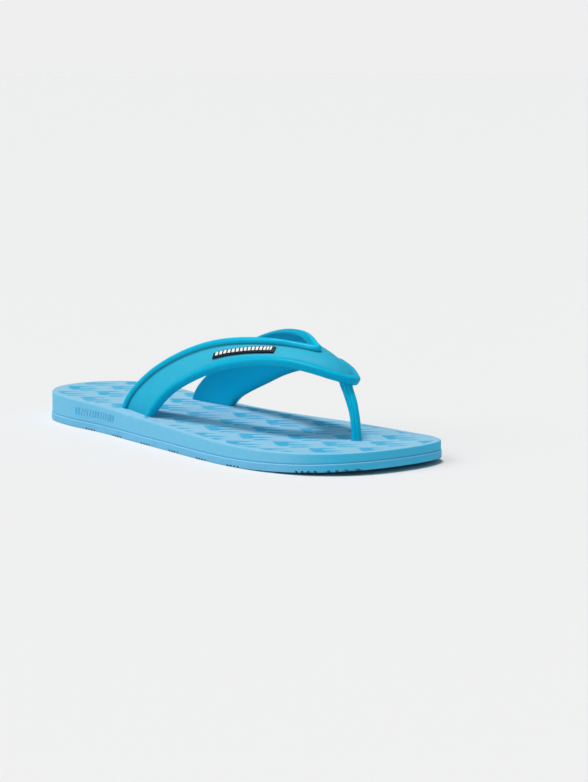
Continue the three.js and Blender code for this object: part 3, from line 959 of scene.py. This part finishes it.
def heel_ribs():
    """A short row of plain slanted ribs low on the heel's outer side."""
    ribs = []
    on_side = [i for i in range(len(outline)) if outline[i, 1] < 0 and -90 < outline[i, 0] < -40]
    path = outline[on_side]
    path = path[np.argsort(path[:, 0])]
    run = np.concatenate([[0], np.cumsum(np.linalg.norm(np.diff(path, axis=0), axis=1))])
    for k in range(RIB_COUNT):
        start = 2 + k * RIB_PITCH
        corners = []
        for lift, lean in zip(RIB_HEIGHTS, (0.0, RIB_LEAN)):
            for offset in (0.0, RIB_WIDTH):
                at = start + lean + offset
                p = np.array([np.interp(at, run, path[:, c]) for c in range(2)])
                q = np.array([np.interp(at + 0.5, run, path[:, c]) for c in range(2)])
                away = unit(q - p)
                away = np.array([away[1], -away[0]])
                corners.append((p, away, lift))
        outer = [[*(p + away * 0.05), z] for p, away, z in corners]
        inner = [[*(p + away * -1.6), z] for p, away, z in corners]
        order = (0, 1, 3, 2)
        ribs.append(loft("rib", [[inner[i] for i in order], [outer[i] for i in order]]))
    return join(ribs)


def make_outsole():
    r = EDGE_RADIUS
    bottom = [(k / 4) * math.pi / 2 for k in range(5)]
    steps = [(5.6, 0, 0), (5.3, 0, 0.7), (4.4, 0, 0.7), (4.1, 0, 0), (2.4, 0, 0)]
    steps += [(r * (1 - math.sin(a)), 0, r * (1 - math.cos(a))) for a in bottom]
    steps += [(0, 0.62, 0), (0, 1, -0.75), (0, 1, -0.35), (0.05, 1, -0.2), (0.2, 1, -0.05),
              (0.35, 1, 0), (1.9, 1, 0)]
    body = layer_body("outsole_rubber", steps, ground_height, seam_height, 4)
    boxes = []
    for group in GROOVE_GROUPS:
        for k in range(GROOVES_IN_GROUP):
            x = group + (k - (GROOVES_IN_GROUP - 1) / 2) * GROOVE_PITCH
            top = float(ground_height(x)) + GROOVE_DEPTH
            section = [(x - 0.5, top), (x + 0.5, top), (x + 0.8, top - 4), (x - 0.8, top - 4)]
            boxes.append(loft("groove", [[(a, y, z) for a, z in section] for y in (-70, 70)]))
    boolean(body, join(boxes))
    boolean(body, turned("plug_room", plug_profile(PLUG_ROOM), *POST_FOOT))
    return body


def in_grooves(p):
    """Whether each point lies on the inner faces of the tread's grooves."""
    height = p[:, 2] - ground_height(p[:, 0])
    beside = np.abs(p[:, :1] - np.array(GROOVE_GROUPS)).min(1)
    low = (height > 0.1) & (height < GROOVE_DEPTH + 0.05)
    return low & (beside < 5.2) & (edge_distance(p[:, :2]) > 0.7)


def on_ribs(p):
    """Whether each point lies on the faces of the heel's ribs."""
    low, high = RIB_HEIGHTS
    level = (p[:, 2] > low - 0.4) & (p[:, 2] < high + 0.4)
    return level & (p[:, 0] < -40) & (p[:, 1] < 0) & (edge_distance(p[:, :2]) < 0.25)


# ---- Assembly ----

foam = footbed_material()
rubber = outsole_material()
satin = strap_material()

# The footbed's seam field marks the foot of its wall, where painted shade darkens it by the outsole.
footbed = finish_piece(make_footbed(), foam, "footbed", 34, edge=lambda p: edge_distance(p[:, :2]),
                       seam=lambda p: 1 - smooth(p[:, 2] - seam_height(p[:, 0]), 0.3, 0.7))
store_faces(footbed, "rib", on_ribs)
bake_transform(footbed)
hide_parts("footbed_rear", "footbed_front")

# The outsole's lip field marks the chamfer at the top of its wall, which gets a painted highlight.
outsole = finish_piece(make_outsole(), rubber, "outsole", 34,
                       lip=lambda p: smooth(p[:, 2] - seam_height(p[:, 0]), -0.75, -0.35))
# The groove field marks the grooves' inner faces, which get painted shade.
store_faces(outsole, "groove", in_grooves)
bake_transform(outsole)
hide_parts("outsole_rear", "outsole_front")

strap = make_strap()
web_share, inner_share, crease_share, tone_share = strap_fields(coordinates(strap))
finish_piece(strap, satin, "strap", 40, web=lambda p: web_share, inner=lambda p: inner_share,
             crease=lambda p: crease_share, tone=lambda p: tone_share)
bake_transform(strap)
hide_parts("strap")

post = finish_piece(make_post(), satin, "strap", 60, tone=lambda p: np.full(len(p), POST_TONE))
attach(post, "thong")
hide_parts("toe_post")

plug = finish_piece(turned("toe_plug_disc", plug_profile(), *POST_FOOT), satin, "strap", 30)
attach(plug, "forefoot")
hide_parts("toe_plug")

backing, marks = make_badge()
finish_piece(backing, badge_material(), "badge", 30)
finish_piece(marks, marks_material(), "badge_mark", 30)
for piece, node in ((backing, "badge_plate"), (marks, "badge_inlay")):
    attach(piece, "thong")
    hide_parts(node)


# ---- Floor, light and camera ----

# The world's strength at the horizon and above, and where it changes, as the height of a direction.
HORIZON = 0.863
AMBIENT = 0.31
HORIZON_BAND = (0.03, 0.06)
SKY_TINT = (0.62, 0.97, 1.04, 1)
SUN_TINT = (1.19, 1.015, 0.98)

# The view's direction and axes, in metres.
AZIMUTH = math.radians(50.59)
ELEVATION = math.radians(9.297)
RIGHT = Vector((math.cos(AZIMUTH), math.sin(AZIMUTH), 0))
FORWARD = Vector((-math.sin(AZIMUTH) * math.cos(ELEVATION), math.cos(AZIMUTH) * math.cos(ELEVATION),
                  -math.sin(ELEVATION)))
UP = RIGHT.cross(FORWARD)
REFERENCE = Vector((0, 0.0031, 0))
DISTANCE = 1.3
LENS = 139.8
AIM = (0.040, 0.0269)
FLOOR_RADIUS = 60


def make_floor():
    mesh = bpy.data.meshes.new("floor")
    ring = [(FLOOR_RADIUS * math.cos(a), FLOOR_RADIUS * math.sin(a), 0)
            for a in np.linspace(0, 2 * math.pi, 65)[:-1]]
    mesh.from_pydata(ring, [], [list(range(len(ring)))])
    floor = bpy.data.objects.new("floor", mesh)
    bpy.context.scene.collection.objects.link(floor)
    material = bpy.data.materials.new("pale_floor")
    material.use_nodes = True
    surface = material.node_tree.nodes["Principled BSDF"]
    surface.inputs["Base Color"].default_value = (0.8, 0.8, 0.8, 1)
    surface.inputs["Roughness"].default_value = 0.9
    surface.inputs["Specular IOR Level"].default_value = 0.1
    mesh.materials.append(material)


def make_world():
    """Even soft light, a little brighter where it meets the floor far away."""
    world = bpy.data.worlds.new("studio")
    world.use_nodes = True
    tree = world.node_tree
    background = tree.nodes["Background"]
    tint = tree.nodes.new("ShaderNodeMix")
    tint.data_type = "RGBA"
    tint.inputs[6].default_value = (1, 1, 1, 1)
    tint.inputs[7].default_value = SKY_TINT
    place = tree.nodes.new("ShaderNodeTexCoord")
    axes = tree.nodes.new("ShaderNodeSeparateXYZ")
    height = tree.nodes.new("ShaderNodeMath")
    height.operation = "ABSOLUTE"
    tree.links.new(place.outputs["Generated"], axes.inputs[0])
    tree.links.new(axes.outputs["Z"], height.inputs[0])
    strength = background.inputs["Strength"]
    for low, high, target in ((HORIZON, AMBIENT, strength), (0, 1, tint.inputs[0])):
        fade = tree.nodes.new("ShaderNodeMapRange")
        for key, value in (("From Min", HORIZON_BAND[0]), ("From Max", HORIZON_BAND[1]),
                           ("To Min", low), ("To Max", high)):
            fade.inputs[key].default_value = value
        tree.links.new(height.outputs[0], fade.inputs["Value"])
        tree.links.new(fade.outputs[0], target)
    tree.links.new(tint.outputs[2], background.inputs["Color"])
    bpy.context.scene.world = world


def add_sun(name, strength, angle, towards, color=(1, 1, 1)):
    light = bpy.data.lights.new(name, "SUN")
    light.energy = strength
    light.color = color
    light.angle = math.radians(angle)
    obj = bpy.data.objects.new(name, light)
    bpy.context.scene.collection.objects.link(obj)
    obj.rotation_euler = Vector(towards).to_track_quat("Z", "Y").to_euler()


make_floor()
make_world()
add_sun("overhead", 1.9, 13, Vector((0, 0, 1)) - RIGHT * 0.10, SUN_TINT)
add_sun("left", 0.9, 50, Vector((0, 0, 0.75)) - RIGHT * 0.85 - FORWARD * 0.35)

camera = bpy.data.cameras.new("camera")
camera.sensor_fit = "HORIZONTAL"
camera.sensor_width = 36
camera.lens = LENS
eye = bpy.data.objects.new("camera", camera)
bpy.context.scene.collection.objects.link(eye)
place = REFERENCE - FORWARD * DISTANCE
target = REFERENCE + RIGHT * AIM[0] + UP * AIM[1]
look = (target - place).normalized()
side = look.cross(UP).normalized()
above = side.cross(look)
eye.matrix_world = Matrix.Translation(place) @ Matrix((side, above, -look)).transposed().to_4x4()
bpy.context.scene.camera = eye
bpy.context.scene.view_settings.view_transform = "Standard"
